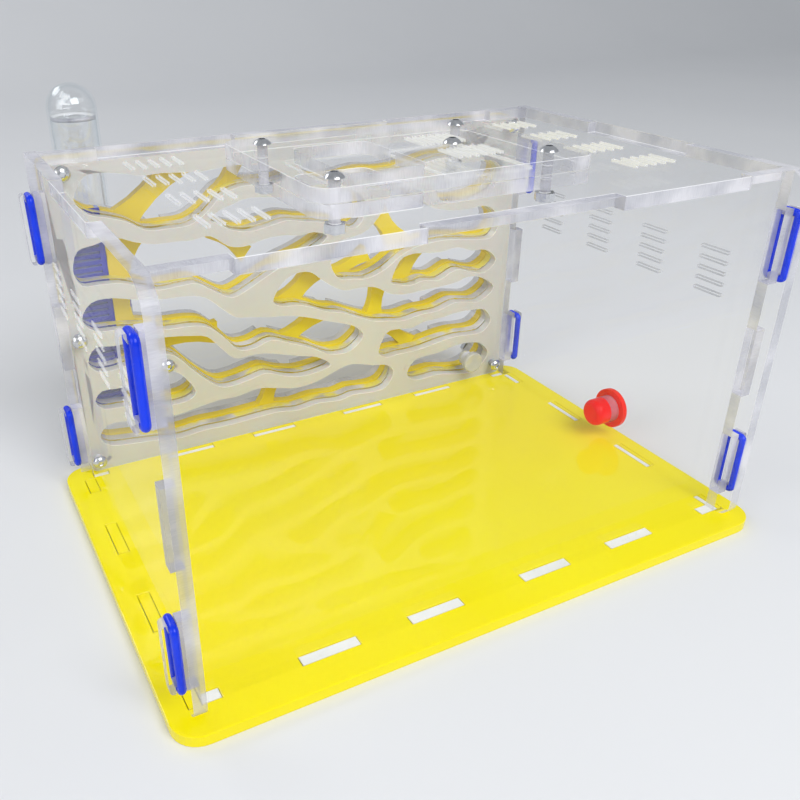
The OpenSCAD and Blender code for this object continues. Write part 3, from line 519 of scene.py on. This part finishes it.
def pale_stage():
    """A pale floor that curves up behind the object."""
    front, depth, width, height, radius, steps = -3.0, 1.6, 5.0, 2.2, 0.5, 12
    profile = [(front, 0.0), (depth - radius, 0.0)]
    for k in range(1, steps + 1):
        a = math.radians(90 * k / steps)
        profile.append((depth - radius + radius * math.sin(a), radius - radius * math.cos(a)))
    profile.append((depth, height))
    verts = [(x, y, z) for y, z in profile for x in (-width / 2, width / 2)]
    faces = [(2 * i, 2 * i + 1, 2 * i + 3, 2 * i + 2) for i in range(len(profile) - 1)]
    mesh = bpy.data.meshes.new("stage_floor")
    mesh.from_pydata(verts, [], faces)
    mesh.shade_smooth()
    floor = show("stage_floor", mesh)
    shader = Shader("stage_paper", Roughness=0.9)
    shader.to("Base Color", shader.mix_colour(shader.noise(3, 2), srgb(226, 227, 230),
                                              srgb(232, 233, 235)))
    mesh.materials.append(shader.mat)


def area_light(name, at, target, size, power):
    """A soft lamp of a size in metres, aimed at the target."""
    light = bpy.data.lights.new(name, "AREA")
    light.shape = "RECTANGLE"
    light.size, light.size_y = size
    light.energy = power
    lamp = show(name, light)
    direction = Vector(target) - Vector(at)
    lamp.matrix_world = (Matrix.Translation(at)
                         @ direction.to_track_quat("-Z", "Y").to_matrix().to_4x4())


def studio():
    """A large soft key from above and in front, a fill from the left, a lamp behind, and an
    even world, which is paler where it is seen past the floor's end."""
    middle = (0, 0, 0.06)
    area_light("key", (0.15, -0.85, 0.95), middle, (0.8, 0.6), 9.4)
    area_light("fill", (-1.1, -0.3, 0.55), middle, (0.6, 0.8), 3.2)
    area_light("rear", (-0.65, 1.1, 1.0), middle, (0.7, 0.4), 3.4)
    world = bpy.data.worlds.new("studio")
    bpy.context.scene.world = world
    world.use_nodes = True
    nodes = world.node_tree.nodes
    mix = nodes.new("ShaderNodeMix")
    mix.data_type = "RGBA"
    mix.inputs[6].default_value = srgb(173, 176, 179)
    mix.inputs[7].default_value = srgb(222, 224, 227)
    links = world.node_tree.links
    links.new(nodes.new("ShaderNodeLightPath").outputs["Is Camera Ray"], mix.inputs[0])
    links.new(mix.outputs[2], nodes["Background"].inputs["Color"])
    nodes["Background"].inputs["Strength"].default_value = 1.0


def camera():
    """The photograph's view of the object."""
    data = bpy.data.cameras.new("camera")
    data.sensor_width = SENSOR
    data.lens = LENS
    data.shift_x, data.shift_y = SHIFT
    data.clip_start = 0.01
    data.clip_end = 20
    eye = show("camera", data)
    turn = Matrix((CAMERA_RIGHT, CAMERA_UP, CAMERA_BACK)).transposed().to_4x4()
    eye.matrix_world = Matrix.Translation(Vector(CAMERA_AT) * MM) @ turn
    bpy.context.scene.camera = eye


camera()
studio()
pale_stage()
bpy.context.scene.view_settings.view_transform = "Standard"
bpy.context.scene.cycles.transparent_max_bounces = 48
